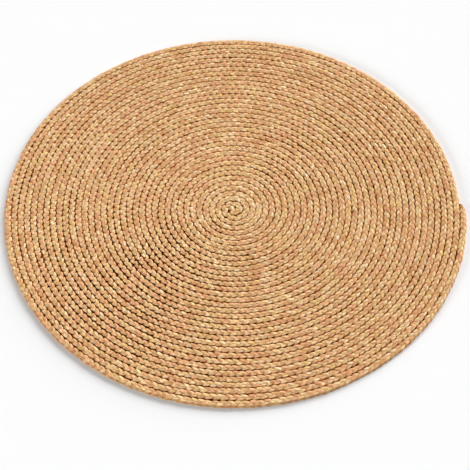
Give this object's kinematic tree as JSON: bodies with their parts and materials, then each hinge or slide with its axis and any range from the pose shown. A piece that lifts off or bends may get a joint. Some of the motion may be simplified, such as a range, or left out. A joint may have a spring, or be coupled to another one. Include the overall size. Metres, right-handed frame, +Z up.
{
  "type": "round jute rug",
  "caption": "Round flat rug made of a plaited jute braid coiled outwards in a spiral from a hooked middle, with ribbed turns and a rounded outer end at the rim.",
  "frame": {"origin": "middle of the coil, on the floor that the rug lies on", "axes": "+Z up, out of the ribbed face; +X towards the outer end of the braid at the rim, which is 1.2 degrees past it"},
  "size_m": [1.2016, 1.1966, 0.009],
  "materials": {
    "jute": "dry plaited jute fibre, matt with a faint sheen along the fibres"
  },
  "bodies": {
    "root": {"braided_rug": "jute"}
  },
  "joints": []
}
